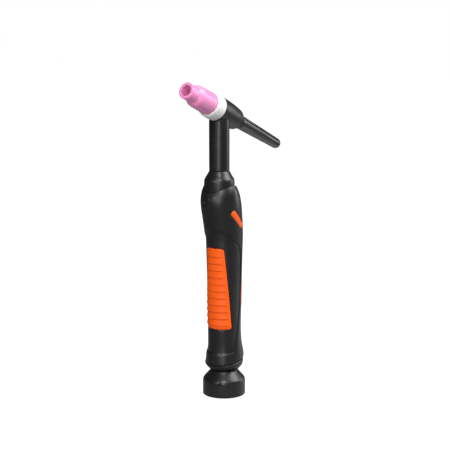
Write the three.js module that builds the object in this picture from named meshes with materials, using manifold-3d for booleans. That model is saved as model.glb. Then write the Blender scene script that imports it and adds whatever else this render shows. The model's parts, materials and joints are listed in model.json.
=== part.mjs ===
// Hand-held TIG welding torch, air cooled, with a swivelling cable outlet.
// Millimetres, +Z up. The origin is on the axis of the lower handle, at the middle of the grip.
// The nozzle points to -Y and the back cap to +Y, so the handle parts on the plane x = 0.

import * as THREE from 'three';
import { mergeVertices } from 'three/addons/utils/BufferGeometryUtils.js';
import Module from 'manifold-3d';

const wasm = await Module();
wasm.setup();

// Driving dimensions.
const gap = 0.3; // clearance between pieces that touch
const headZ = 141; // height of the point where head axis and neck axis cross
const neckY = -6.4; // the neck stands in front of the lower handle's axis
const headTilt = 21.3; // degrees that the nozzle rises above the horizontal
const tipS = 46.3; // nozzle mouth, measured along the head axis from the crossing
const capEndS = -90.8; // rounded end of the back cap
const nozzleR = 8.5;
const nozzleTipR = 6.3;
const nozzleBoreR = 4;
const ringR = 10.1;
const electrodeR = 1.2;
const neckR = 7.85;
const neckEndZ = 94.7;
const collarR = 11.75; // cone that closes the mouth of the handle
const mouthZ = 81.3;
const rimZ = -54.8;
const depthRatio = 1.08; // the handle is deeper, front to back, than it is wide
const wall = 3.2;
const rimWall = 1.5;
const recessDepth = 0.7;
const pocketDepth = 1.3;
const ballZ = -50.2;
const ballR = 10.5;
const outletEndZ = -83.2;
const outletR = 16.75;
const setScrewZ = -21.9; // below the ball's centre
const setScrewTurn = 23; // degrees round from the torch's front
const screwStations = [[47.5, 6], [-14, 5], [-36, 5]]; // height and depth of each handle screw
const screwFace = -10.6; // the screws' heads face -X, under the skin of the left shell
const badge = { y: -2.7, z: 57.6, length: 14.6, radius: 2.2, lean: 46 }; // slanted inlay, seen from the side
const buttonTurn = -21.6; // degrees round the handle from its front
const buttonZ = 70.8;

// Half width of the handle at heights from the lower rim up to the mouth.
const handleHeights = [-57, -52, -44, -32, -8, 16, 39, 57, 68, 73, 75.2, 77.4, 79, 80.3, 81.3];
const handleWidths = [14.85, 14.6, 13.5, 13, 13.35, 13.75, 14.35, 15.05, 15.4, 15.05, 14.7, 14.15, 13.65, 13, 12.5];

const colours = {
  alumina: [0xe98cc4, 0.35, 0],
  heatShield: [0xf2f2f0, 0.45, 0],
  rubber: [0x1d1d1e, 0.6, 0],
  shell: [0x242425, 0.5, 0],
  orange: [0xfa5a0a, 0.5, 0],
  phenolic: [0x151516, 0.3, 0],
  brass: [0xc9a24a, 0.35, 1],
  copper: [0xb5673f, 0.35, 1],
  tungsten: [0x8d8f92, 0.4, 1],
  steel: [0xa9acb0, 0.35, 1],
  acetal: [0x2e2f30, 0.4, 0],
};

const torch = new THREE.Group();
torch.name = 'tig_torch';
const head = new THREE.Group();
head.position.set(0, neckY, headZ);
head.rotation.x = THREE.MathUtils.degToRad(90 - headTilt);
const neck = new THREE.Group();
neck.position.set(0, neckY, 0);
const outlet = new THREE.Group();
outlet.position.z = ballZ;
torch.add(head, neck, outlet);

// ---- Solids ----

function signedVolume(position, index) {
  const [a, b, c] = [new THREE.Vector3(), new THREE.Vector3(), new THREE.Vector3()];
  let sum = 0;
  for (let i = 0; i < index.length; i += 3) {
    a.fromBufferAttribute(position, index[i]);
    b.fromBufferAttribute(position, index[i + 1]);
    c.fromBufferAttribute(position, index[i + 2]);
    sum += a.dot(b.cross(c)) / 6;
  }
  return sum;
}

// Merges shared vertices, drops collapsed triangles and turns the faces outwards.
function closed(geometry) {
  const bare = geometry.clone();
  bare.deleteAttribute('normal');
  bare.deleteAttribute('uv');
  const merged = mergeVertices(bare, 1e-4);
  const source = merged.index.array;
  const index = [];
  for (let i = 0; i < source.length; i += 3) {
    const [a, b, c] = [source[i], source[i + 1], source[i + 2]];
    if (a !== b && b !== c && c !== a) index.push(a, b, c);
  }
  if (signedVolume(merged.getAttribute('position'), index) < 0) index.reverse();
  merged.setIndex(index);
  return merged;
}

function solid(geometry) {
  const shape = closed(geometry);
  const mesh = new wasm.Mesh({
    numProp: 3,
    vertProperties: new Float32Array(shape.getAttribute('position').array),
    triVerts: new Uint32Array(shape.index.array),
  });
  return new wasm.Manifold(mesh);
}

function geometryOf(manifold) {
  const mesh = manifold.getMesh();
  const geometry = new THREE.BufferGeometry();
  geometry.setAttribute('position', new THREE.BufferAttribute(mesh.vertProperties, 3));
  geometry.setIndex(new THREE.BufferAttribute(mesh.triVerts, 1));
  return geometry;
}

function addPart(name, shape, colour, group = torch) {
  const geometry = shape instanceof THREE.BufferGeometry ? closed(shape) : geometryOf(shape);
  geometry.computeVertexNormals();
  const [color, roughness, metalness] = colours[colour];
  const mesh = new THREE.Mesh(geometry, new THREE.MeshStandardMaterial({ color, roughness, metalness }));
  mesh.name = name;
  group.add(mesh);
  return mesh;
}

// A body of revolution about Z. The outline is a list of [radius, height] that closes on itself.
function turned(outline, sides = 24) {
  const points = outline.map(([r, z]) => new THREE.Vector2(r, z));
  if (outline[0][0] > 0 || outline.at(-1)[0] > 0) points.push(points[0].clone());
  return new THREE.LatheGeometry(points, sides).rotateX(Math.PI / 2);
}

function rod(radius, low, high, sides = 20) {
  return turned([[0, low], [radius, low], [radius, high], [0, high]], sides);
}

function tube(inner, outer, low, high, sides = 20) {
  return turned([[inner, low], [outer, low], [outer, high], [inner, high]], sides);
}

// Points on a circle about [r, z], from one angle to another, in degrees.
function arc(r, z, radius, from, to, steps = 6) {
  return Array.from({ length: steps + 1 }, (_, i) => {
    const angle = THREE.MathUtils.degToRad(from + ((to - from) * i) / steps);
    return [r + radius * Math.cos(angle), z + radius * Math.sin(angle)];
  });
}

// A prism across the whole handle, from an outline of [y, z] seen from the side.
function sidePrism(points, low = -30, high = 30) {
  const shape = new THREE.Shape(points.map(([y, z]) => new THREE.Vector2(y, z)));
  const geometry = new THREE.ExtrudeGeometry(shape, { depth: high - low, bevelEnabled: false });
  const toSide = new THREE.Matrix4().makeBasis(
    new THREE.Vector3(0, 1, 0),
    new THREE.Vector3(0, 0, 1),
    new THREE.Vector3(1, 0, 0),
  );
  return geometry.translate(0, 0, low).applyMatrix4(toSide);
}

function crossRod(radius, low, high, y, z, sides = 14) {
  return rod(radius, low, high, sides).rotateY(Math.PI / 2).translate(0, y, z);
}

// ---- The handle's form ----

const widthAt = new THREE.CubicInterpolant(handleHeights, handleWidths, 1);
const halfWidth = (z) => widthAt.evaluate(THREE.MathUtils.clamp(z, handleHeights[0], mouthZ))[0];

// The handle's middle runs from the neck's axis back to the lower axis, then bulges at the rim.
function spineY(z) {
  const lean = 1 - THREE.MathUtils.smoothstep(84 - z, 0, 45);
  return (neckY + 0.8) * lean + THREE.MathUtils.smoothstep(-30 - z, 0, 20);
}

// The lower end of the handle is cut aslant, with the back higher than the front.
function slant(z) {
  return 0.013 * THREE.MathUtils.smoothstep(z, 62, 80) + 0.2 * THREE.MathUtils.smoothstep(-z, 38, 54);
}

// How much higher than its front and back the sides of the mouth stand.
const saddle = (z) => 2.6 * THREE.MathUtils.smoothstep(z, 64, 80);

function wallAt(z) {
  return THREE.MathUtils.lerp(rimWall, wall, THREE.MathUtils.smoothstep(z, -40, -34));
}

// Closed skin of stacked ovals. inset(z) is how far it lies inside the handle's outer face.
function handleForm(inset, heights, sides = 36) {
  const vertices = [];
  const index = [];
  for (const z of heights) {
    const a = halfWidth(z) - inset(z);
    const b = halfWidth(z) * depthRatio - inset(z);
    for (let i = 0; i < sides; i++) {
      const turn = (2 * Math.PI * i) / sides;
      const y = -b * Math.cos(turn);
      const rise = slant(z) * y - saddle(z) * Math.cos(2 * turn);
      vertices.push(a * Math.sin(turn), spineY(z) + y, z + rise);
    }
  }
  const top = heights.length - 1;
  vertices.push(0, spineY(heights[0]), heights[0], 0, spineY(heights[top]), heights[top]);
  const centre = heights.length * sides;
  for (let i = 0; i < sides; i++) {
    const j = (i + 1) % sides;
    for (let k = 0; k < top; k++) {
      const [a, b] = [k * sides + i, k * sides + j];
      index.push(a, b, b + sides, a, b + sides, a + sides);
    }
    index.push(centre, j, i, centre + 1, top * sides + i, top * sides + j);
  }
  const geometry = new THREE.BufferGeometry();
  geometry.setAttribute('position', new THREE.BufferAttribute(new Float32Array(vertices), 3));
  geometry.setIndex(index);
  return geometry;
}

const outerHeights = [rimZ, -51, -45, -38, -20, 4, 30, 46, 58, 68, 73.5, 78, mouthZ];
const innerHeights = [-70, rimZ, -50, -44, -40, -34, -4, 32, 50, 70];
const pocketHeights = [-56, -45, -38, -20, 4, 30, 46, 58, 68, 76];

const skin = (inset) => solid(handleForm(() => inset, pocketHeights));

function stretched(points, grow) {
  const centre = points.reduce(([y, z], p) => [y + p[0] / points.length, z + p[1] / points.length], [0, 0]);
  return points.map(([y, z]) => [y + Math.sign(y - centre[0]) * grow, z + Math.sign(z - centre[1]) * grow]);
}

// Side views of what is let into the handle, as [y, z].
const recessEdge = [[-30, 54.4], [-18, 51.6], [-14.5, 49.6], [-10.2, 45], [-5.2, 41.2], [0.6, 35.8], [4.4, 28],
  [4.2, 12], [3.6, -8], [1.2, -26], [-2.2, -42], [-3.4, -46], [-6, -48.2], [-30, -50]];
const frontInsertEdge = [[-30, 35.2], [-12.2, 35.2], [-11.6, 34.4], [-5.6, -28], [-6.2, -28.8], [-30, -28.8]];
const rearInsertEdge = [[30, 30], [13.2, 30], [11.6, 20], [9.4, 9], [6.8, 2.5], [6, -2.6], [6.8, -8], [9.4, -15],
  [11.6, -26], [13.2, -38], [30, -38]];

function badgeEdge(grow) {
  const upper = arc(0, badge.length / 2, badge.radius + grow, 0, 180, 4);
  const lower = arc(0, -badge.length / 2, badge.radius + grow, 180, 360, 4);
  const lean = THREE.MathUtils.degToRad(badge.lean);
  return [...upper, ...lower].map(([y, z]) => [
    badge.y + y * Math.cos(lean) - z * Math.sin(lean),
    badge.z + z * Math.cos(lean) + y * Math.sin(lean),
  ]);
}

// What lies between two depths under the handle's face, inside a side view.
function inlay(edge, innerInset, outerInset) {
  return skin(outerInset).subtract(skin(innerInset)).intersect(solid(sidePrism(edge)));
}

function buttonPlaced(geometry) {
  const turn = THREE.MathUtils.degToRad(buttonTurn);
  return geometry.rotateX(Math.PI / 2).rotateZ(turn).translate(0, spineY(buttonZ), buttonZ);
}

// ---- Handle ----

function addHandleShells() {
  const cavity = solid(handleForm(wallAt, innerHeights, 20));
  const mouthBore = solid(rod(collarR + gap, 66, 100, 24).translate(0, neckY, 0));
  const inside = skin(0.6);
  let body = solid(handleForm(() => 0, outerHeights)).subtract(cavity).subtract(mouthBore);
  for (const [z, y] of screwStations) {
    const post = solid(crossRod(3.6, -halfWidth(z), halfWidth(z), y, z));
    body = body.add(post.intersect(inside));
    body = body.subtract(solid(crossRod(1.4 + gap, screwFace, screwFace + 18.7, y, z, 10)));
    body = body.subtract(solid(crossRod(2.8 + gap, -20, screwFace + 3.4, y, z)));
  }
  const recess = solid(sidePrism(recessEdge)).subtract(skin(recessDepth));
  const floor = recessDepth + pocketDepth;
  const frontPocket = solid(sidePrism(stretched(frontInsertEdge, gap))).subtract(skin(floor));
  const rearPocket = solid(sidePrism(stretched(rearInsertEdge, gap))).subtract(skin(pocketDepth));
  const badgePockets = solid(sidePrism(badgeEdge(gap))).subtract(skin(1));
  const buttonHole = solid(buttonPlaced(rod(2.4, 5, 25, 16)));
  const buttonDish = solid(buttonPlaced(turned([[0, 15.9], [2.8, 15.9], [3.5, 18], [0, 18]], 16)));
  for (const cut of [recess, frontPocket, rearPocket, badgePockets, buttonHole, buttonDish]) {
    body = body.subtract(cut);
  }
  const half = new THREE.BoxGeometry(40, 80, 240);
  const right = solid(half.clone().translate(20 + gap / 2, 0, 0));
  const left = solid(half.clone().translate(-20 - gap / 2, 0, 0));
  addPart('handle_shell_left', body.intersect(left), 'shell');
  addPart('handle_shell_right', body.intersect(right), 'shell');
}

// Overlapping scales: each one swells towards its lower edge and then steps back in.
function addFrontInsert() {
  const count = 11;
  const low = -26.5;
  const pitch = 60 / count;
  const heights = [-40];
  for (let i = 0; i < count; i++) heights.push(low + i * pitch, low + i * pitch + 0.5);
  heights.push(low + count * pitch, 50);
  const scales = (z) => {
    const along = (z - low) / pitch;
    const inRow = along >= 0 && along < count;
    const rise = inRow ? Math.max(0, 1 - (along % 1)) : 0;
    return recessDepth - 0.1 - (along % 1 > 0.05 ? 0.8 * rise : 0);
  };
  const outside = solid(handleForm(scales, heights));
  const inside = skin(recessDepth + pocketDepth - gap);
  const insert = outside.subtract(inside).intersect(solid(sidePrism(frontInsertEdge)));
  addPart('front_grip_insert', insert, 'orange');
}

function addTrim() {
  addPart('rear_grip_insert', inlay(rearInsertEdge, pocketDepth - gap, -0.1), 'orange');
  const badges = inlay(badgeEdge(0), 1 - gap, -0.25);
  const rightSide = solid(new THREE.BoxGeometry(40, 80, 240).translate(20, 0, 0));
  addPart('badge_right', badges.intersect(rightSide), 'orange');
  addPart('badge_left', badges.subtract(rightSide), 'orange');
}

function addHandleScrews() {
  screwStations.forEach(([z, y], i) => {
    const outline = [[0, 1.5], [1.1, 0.8], [1.3, 0], [2.8, 0], [2.8, 1.2], [1.4, 3.4 - gap], [1.4, 18], [0, 18.4]];
    const screw = turned(outline, 12).rotateY(Math.PI / 2).translate(screwFace, y, z);
    addPart(`handle_screw_${i + 1}`, screw, 'steel');
  });
}

// ---- Start switch ----

function addStartSwitch() {
  const button = [[0, 10.2], [1, 10.2], [1, 11.8], [3, 11.8], [3, 12.8], [2.1, 12.8], [2.1, 16], [1.6, 16.4],
    [0, 16.5]];
  addPart('start_button', buttonPlaced(turned(button, 16)), 'phenolic');
  const body = solid(new THREE.BoxGeometry(6, 12, 3.4).translate(0, 0, 7));
  const plunger = solid(rod(0.8, 8.5, 9, 8));
  addPart('micro_switch', geometryOf(body.add(plunger)), 'acetal');
  const placed = torch.children.at(-1);
  buttonPlaced(placed.geometry);
}

function addControlLead() {
  const route = new THREE.CatmullRomCurve3([
    new THREE.Vector3(-3, -10.6, 64.3),
    new THREE.Vector3(-3.2, -10.6, 63),
    new THREE.Vector3(-5.8, -9.6, 60.8),
    new THREE.Vector3(-9.2, -5.6, 57),
    new THREE.Vector3(-9.2, -2.6, 50),
    new THREE.Vector3(-7.2, -0.4, 42),
    new THREE.Vector3(-6.4, 0, 30),
    new THREE.Vector3(-6.2, 0, 12.5),
  ]);
  const section = new THREE.Shape().absarc(0, 0, 1.3, 0, 2 * Math.PI);
  const lead = new THREE.ExtrudeGeometry(section, { steps: 14, curveSegments: 4, extrudePath: route });
  addPart('control_lead', lead, 'rubber');
  addPart('lead_connector', new THREE.BoxGeometry(5, 4.4, 12).translate(-6.2, 0, 6), 'acetal');
}

// ---- Head, along the head axis ----

function addNozzle() {
  const outline = [
    [nozzleR, 8.9], [nozzleR, 32.4], ...arc(nozzleR - 2.6, 32.4, 2.6, 0, 62, 3),
    [nozzleTipR, 37.4], [nozzleTipR, tipS - 0.6], [nozzleTipR - 0.6, tipS],
    [nozzleBoreR + 0.5, tipS], [nozzleBoreR, tipS - 0.5], [nozzleBoreR, 36], [5.9, 25], [5.9, 8.9],
  ];
  addPart('gas_nozzle', turned(outline, 28), 'alumina', head);
}

function addHeatShield() {
  const outline = [[6.1, 5.1], [ringR - 0.5, 5.1], [ringR, 5.6], [ringR, 15.2], [ringR - 0.6, 15.8],
    [nozzleR + gap, 15.8], [nozzleR + gap, 8.6], [6.1, 8.6]];
  addPart('heat_shield_ring', turned(outline, 28), 'heatShield', head);
}

function addCollets() {
  const bodyOutline = [[2.4, -12], [4.9, -12], [4.9, 5.1], [5.6, 5.4], [5.6, 20], [3.5, 21], [3.5, 34.5], [2.4, 36.5],
    [1.5, 36.5], [1.5, 34], [2.4, 33]];
  let body = solid(turned(bodyOutline, 16));
  for (const turn of [0, Math.PI / 2]) {
    body = body.subtract(solid(crossRod(0.8, -6, 6, 0, 27, 8).rotateZ(turn)));
  }
  addPart('collet_body', body, 'copper', head);
  let collet = solid(turned([[1.5, -12.5], [2.1, -12.5], [2.1, 32.2], [1.6, 32.8], [1.5, 32.8]], 12));
  for (const turn of [0, Math.PI / 2]) {
    collet = collet.subtract(solid(new THREE.BoxGeometry(8, 0.5, 20).rotateZ(turn).translate(0, 0, 28)));
  }
  addPart('collet', collet, 'copper', head);
  const electrode = turned([[0, -84], [electrodeR, -84], [electrodeR, 29], [0.15, 33], [0, 33]], 12);
  addPart('tungsten_electrode', electrode, 'tungsten', head);
}

function addBackCap() {
  const outline = [
    [1.6, -13.2], [4.9, -13.2], [4.9, -25.9], [4.2, -26.1], [4.2, -28], [5.1, -28.2], [5.45, -28.8],
    [4.25, capEndS + 4], ...arc(1.25, capEndS + 3, 3, 0, -90, 3), [0, capEndS],
  ];
  const bore = [[0, -86.5], [1.6, -86.5]];
  let cap = solid(new THREE.LatheGeometry(
    [...outline, ...bore, outline[0]].map(([r, z]) => new THREE.Vector2(r, z)), 20).rotateX(Math.PI / 2));
  const ribs = 10;
  for (let i = 0; i < ribs; i++) {
    const flute = new THREE.BoxGeometry(1, 0.8, 16).translate(0, 5.45, -39).rotateZ((2 * Math.PI * i) / ribs);
    cap = cap.subtract(solid(flute));
  }
  addPart('back_cap', cap, 'phenolic', head);
  addPart('back_cap_o_ring', turned(arc(5.35, -27.1, 0.8, 0, 300, 5), 20), 'rubber', head);
}

// Turns a shape made along the head axis into the torch's upright directions.
function alongHead(geometry) {
  return geometry.rotateX(head.rotation.x);
}

function addHeadCore() {
  const core = solid(alongHead(rod(7.2, -22, 4.5)))
    .add(solid(rod(5, -18, 0, 16)))
    .subtract(solid(alongHead(rod(4.9 + gap, -30, 12, 16))))
    .subtract(solid(rod(2.2, -12, 0, 8)))
    .subtract(solid(rod(3 + gap, -20, -9, 12)));
  addPart('torch_head_core', geometryOf(core).translate(0, neckY, headZ), 'brass');
  addPart('gas_power_tube', tube(2, 3, 46, headZ - 9.3, 12), 'copper', neck);
}

function addHeadCover() {
  const barrel = [[0, 4.8], [9.4, 4.8], [9.9, 4.3], [9.9, -3], [9.5, -10], [8.9, -17], [8.3, -21.2], [7.3, -23.4], [6.6, -24.1],
    [6.6, -25.8], [0, -25.8]];
  const spigotZ = 82.5;
  const cover = solid(alongHead(turned(barrel, 28)))
    .add(solid(rod(neckR, neckEndZ - headZ, 0, 28)))
    .add(solid(rod(6.2, spigotZ - headZ, -30, 16)))
    .subtract(solid(alongHead(rod(20, 4.8, 30, 8))))
    .subtract(solid(alongHead(rod(7.2 + gap, -22.3, 8))))
    .subtract(solid(alongHead(rod(5.4, -30, 0, 16))))
    .subtract(solid(rod(5 + gap, -18.3, 0, 16)))
    .subtract(solid(rod(3 + gap, -70, -12, 12)));
  addPart('head_cover', geometryOf(cover).translate(0, neckY, headZ), 'rubber');
}

// ---- Neck, along the neck axis ----

function addNeckCollar() {
  const outline = [
    [6.5, neckEndZ - gap], [7.7, neckEndZ - gap], [8.3, neckEndZ - 0.9], [9, 92.4], [10, 90.9], [11.1, 89.3],
    [11.6, 87.8], [collarR, 87], [collarR, 78], [10.2, 78], [10.2, 84], [6.5, 86],
  ];
  addPart('neck_collar', turned(outline, 28), 'rubber', neck);
}

function addTubeFittings() {
  addPart('neck_clamp', tube(3 + gap, 6.9, 55.4, 58.4, 16), 'acetal', neck);
  const nut = solid(rod(6, 46.4, 54, 6)).subtract(solid(rod(3 + gap, 40, 60, 12)));
  addPart('tube_coupling_nut', nut, 'brass', neck);
  const outline = [[1.8, 45.7], [5.4, 45.7], [5.4, 42.6], [4.2, 42], [4.2, 38]];
  for (const z of [38, 35, 32]) outline.push([4.5, z - 0.4], [3.6, z - 3]);
  outline.push([3.6, 26], [1.8, 26]);
  addPart('cable_fitting', turned(outline, 12), 'brass', neck);
}

// ---- Swivelling cable outlet, about the ball's centre ----

function addEndRing() {
  const seatR = ballR + gap;
  const seatArc = arc(0, 0, seatR, -39, -8, 3);
  const outline = [...seatArc, [12.2, -1.5], [15.1, -1.5], [15.1, -6.5], [14.9, -7.7], [14.3, -9.2],
    [12.6, -11.3], [10.8, -13], [10, -13]];
  const ring = solid(turned(outline, 32));
  const aboveRim = new THREE.BoxGeometry(60, 60, 20).translate(0, 0, 10);
  aboveRim.rotateX(Math.atan(slant(rimZ))).translate(0, spineY(rimZ), rimZ - ballZ - gap);
  const shoulder = solid(aboveRim).subtract(solid(rod(12.2, -20, 20, 32)));
  addPart('handle_end_ring', ring.subtract(shoulder), 'shell', outlet);
}

function addSwivel() {
  const seatR = ballR + gap;
  const seat = [...arc(0, 0, seatR, 17, 46, 3), [8.2, 8.4], [11.3, 8.4], [11.3, 3.2]];
  addPart('ball_seat_ring', turned(seat), 'acetal', outlet);
  const ball = [...arc(0, 0, ballR, 62, -54, 9), [5.9, -10.2], [5.9, -26.2], [4.6, -26.2], [4.6, 8.6]];
  addPart('swivel_ball', turned(ball), 'acetal', outlet);
}

function addCableCollar() {
  const dishR = 17.3;
  const dish = arc(0, 0, dishR, -66, -51.5, 2);
  const bottom = outletEndZ - ballZ;
  const outline = [
    ...dish, [11, -14], [12.9, -16.2], [15.6, -19.3], [16.4, -20.5], [outletR, -21.9], [outletR, bottom + 0.4],
    [outletR - 0.4, bottom], [13.8, bottom], [13.8, -20.6], [6.2, -20.6], [6.2, -16.2],
  ];
  const screwHole = solid(rod(1 + gap, 13, 20, 12)).rotate([90, 0, setScrewTurn]).translate([0, 0, setScrewZ]);
  const collar = solid(turned(outline, 32)).subtract(screwHole);
  addPart('cable_collar', collar, 'shell', outlet);
  const screw = solid(rod(1, 13, 15.4, 10)).rotate([90, 0, setScrewTurn]).translate([0, 0, setScrewZ]);
  addPart('collar_set_screw', screw, 'steel', outlet);
  const nut = solid(rod(9.6, -24.4, -20.9, 8)).subtract(solid(rod(6.2, -30, -10, 16)));
  addPart('collar_lock_nut', nut, 'acetal', outlet);
}

addNozzle();
addHeatShield();
addCollets();
addBackCap();
addHeadCore();
addHeadCover();
addNeckCollar();
addTubeFittings();
addHandleShells();
addFrontInsert();
addTrim();
addHandleScrews();
addStartSwitch();
addControlLead();
addEndRing();
addSwivel();
addCableCollar();

export default torch;
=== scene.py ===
import json
import math

import bpy
import numpy as np
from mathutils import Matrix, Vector


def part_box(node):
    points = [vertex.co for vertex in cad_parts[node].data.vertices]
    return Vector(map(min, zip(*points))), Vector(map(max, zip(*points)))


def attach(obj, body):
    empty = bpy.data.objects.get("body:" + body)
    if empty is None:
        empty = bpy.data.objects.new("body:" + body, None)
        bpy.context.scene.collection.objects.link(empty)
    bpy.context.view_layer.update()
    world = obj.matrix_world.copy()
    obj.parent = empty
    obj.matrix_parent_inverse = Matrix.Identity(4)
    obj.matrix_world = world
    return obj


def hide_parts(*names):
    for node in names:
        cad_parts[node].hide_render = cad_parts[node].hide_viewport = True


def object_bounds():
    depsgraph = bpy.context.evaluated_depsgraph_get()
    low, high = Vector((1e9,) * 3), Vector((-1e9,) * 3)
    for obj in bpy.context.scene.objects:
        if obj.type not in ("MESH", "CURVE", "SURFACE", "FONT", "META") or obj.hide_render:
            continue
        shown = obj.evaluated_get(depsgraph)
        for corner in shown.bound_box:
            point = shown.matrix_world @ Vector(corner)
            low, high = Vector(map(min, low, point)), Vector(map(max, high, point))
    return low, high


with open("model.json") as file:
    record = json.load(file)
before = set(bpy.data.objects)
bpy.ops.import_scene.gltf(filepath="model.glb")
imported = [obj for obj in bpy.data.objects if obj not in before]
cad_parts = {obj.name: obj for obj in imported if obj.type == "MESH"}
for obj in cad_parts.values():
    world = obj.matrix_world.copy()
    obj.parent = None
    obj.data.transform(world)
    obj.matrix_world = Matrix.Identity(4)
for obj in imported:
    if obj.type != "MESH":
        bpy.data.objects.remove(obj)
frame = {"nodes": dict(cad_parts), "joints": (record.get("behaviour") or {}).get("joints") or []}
cadLow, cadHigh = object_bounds()
bpy.ops.object.select_all(action="DESELECT")
print("frame loaded", len(frame["nodes"]), "nodes")

mm = 0.001
joints = {joint["name"]: joint for joint in frame["joints"]}

# the lines that the turned pieces stand on, taken from the joints
across, upward = Vector((1, 0, 0)), Vector((0, 0, 1))
headLine = {
    "centre": Vector(joints["cap_unscrew"]["pos_m"]),
    "along": -Vector(joints["cap_unscrew"]["axis"]).normalized(),
    "side": across,
}
neckLine = {"centre": Vector((0, headLine["centre"].y, 0)), "along": upward, "side": across}
outletLine = {"centre": Vector(joints["outlet_swivel"]["pos_m"]), "along": upward, "side": across}


def choose(piece):
    bpy.ops.object.select_all(action="DESELECT")
    bpy.context.view_layer.objects.active = piece
    piece.select_set(True)


def openPiece(piece):
    choose(piece)
    bpy.ops.object.mode_set(mode="EDIT")


def closePiece():
    bpy.ops.object.mode_set(mode="OBJECT")


def faceOutwards():
    bpy.ops.mesh.select_all(action="SELECT")
    bpy.ops.mesh.normals_make_consistent(inside=False)


def shadeSmooth(seamAngle):  # edges sharper than this many degrees stay crisp
    bpy.ops.object.shade_smooth_by_angle(angle=math.radians(seamAngle))


def settle(piece):  # its place goes into its mesh
    choose(piece)
    bpy.ops.object.transform_apply(location=True, rotation=True, scale=True)


def applyModifiers(piece):
    choose(piece)
    for modifier in list(piece.modifiers):
        bpy.ops.object.modifier_apply(modifier=modifier.name)


def pickVertices(piece, test):  # selects the vertices that pass the test, in edit mode
    bpy.ops.mesh.select_all(action="DESELECT")
    closePiece()
    for vertex in piece.data.vertices:
        vertex.select = bool(test(vertex.co))
    bpy.ops.object.mode_set(mode="EDIT")


def vertexPlaces(piece):  # every vertex's place in mm
    places = np.empty(len(piece.data.vertices) * 3)
    piece.data.vertices.foreach_get("co", places)
    return places.reshape(-1, 3) / mm


def smoothStep(value, low, high):
    share = np.clip((value - low) / (high - low), 0, 1)
    return share * share * (3 - 2 * share)


def onLine(line, radius, along):
    return line["centre"] + line["along"] * (along * mm) + line["side"] * (radius * mm)


def drawWire(name, points, closed):  # a plane shrunk to one vertex, then extruded from point to point
    bpy.ops.mesh.primitive_plane_add(size=mm, location=points[0])
    piece = bpy.context.object
    piece.name = name
    settle(piece)
    openPiece(piece)
    bpy.ops.mesh.select_all(action="SELECT")
    bpy.ops.mesh.merge(type="CENTER")
    for here, there in zip(points, points[1:]):
        bpy.ops.mesh.extrude_region_move(TRANSFORM_OT_translate={"value": there - here})
    if closed:
        ends = (points[0], points[-1])
        pickVertices(piece, lambda co: min((co - end).length for end in ends) < 1e-7)
        bpy.ops.mesh.edge_face_add()
    return piece


# an outline of (radius, height) or (radius, height, rounding) in mm, turned about a line
def turnPiece(name, line, outline, steps=96, seamAngle=35):
    points = [onLine(line, point[0], point[1]) for point in outline]
    onAxis = outline[0][0] == 0 and outline[-1][0] == 0
    piece = drawWire(name, points, not onAxis)
    for rounding in sorted({point[2] for point in outline if len(point) > 2}):
        corners = [p for p, given in zip(points, outline) if len(given) > 2 and given[2] == rounding]
        pickVertices(piece, lambda co: min((co - corner).length for corner in corners) < 1e-7)
        bpy.ops.mesh.bevel(offset=rounding * mm, segments=5, affect="VERTICES", clamp_overlap=True)
    bpy.ops.mesh.select_all(action="SELECT")
    bpy.ops.mesh.spin(steps=steps, angle=2 * math.pi, center=line["centre"], axis=line["along"])
    bpy.ops.mesh.select_all(action="SELECT")
    bpy.ops.mesh.remove_doubles(threshold=1e-6)
    faceOutwards()
    closePiece()
    shadeSmooth(seamAngle)
    return piece


def cut(piece, tool, how="DIFFERENCE"):
    change = piece.modifiers.new(how.lower(), "BOOLEAN")
    change.operation = how
    change.object = tool
    change.solver = "MANIFOLD"
    applyModifiers(piece)
    bpy.data.objects.remove(tool, do_unlink=True)


def finishPiece(piece, node, body, material):
    piece.data.materials.clear()
    piece.data.materials.append(material)
    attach(piece, body)
    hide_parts(node)
    print("made", piece.name, len(piece.data.polygons))


def newGroup(name, inputs, outputs):
    group = bpy.data.node_groups.new(name, "ShaderNodeTree")
    for label, kind, value in inputs:
        socket = group.interface.new_socket(name=label, in_out="INPUT", socket_type=kind)
        socket.default_value = value
    for label, kind in outputs:
        group.interface.new_socket(name=label, in_out="OUTPUT", socket_type=kind)
    return group, group.nodes.new("NodeGroupInput"), group.nodes.new("NodeGroupOutput")


def addMath(tree, operation, first, second=0.0, third=None):
    node = tree.nodes.new("ShaderNodeMath")
    node.operation = operation
    for socket, value in zip(node.inputs, (first, second, third)):
        if value is None:
            continue
        if isinstance(value, (int, float)):
            socket.default_value = value
        else:
            tree.links.new(value, socket)
    return node.outputs[0]


def addNoise(tree, coordinates, scale, detail=2.0, roughness=0.5):
    noise = tree.nodes.new("ShaderNodeTexNoise")
    noise.inputs["Scale"].default_value = scale
    noise.inputs["Detail"].default_value = detail
    noise.inputs["Roughness"].default_value = roughness
    tree.links.new(coordinates, noise.inputs["Vector"])
    return noise.outputs["Fac"]


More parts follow.
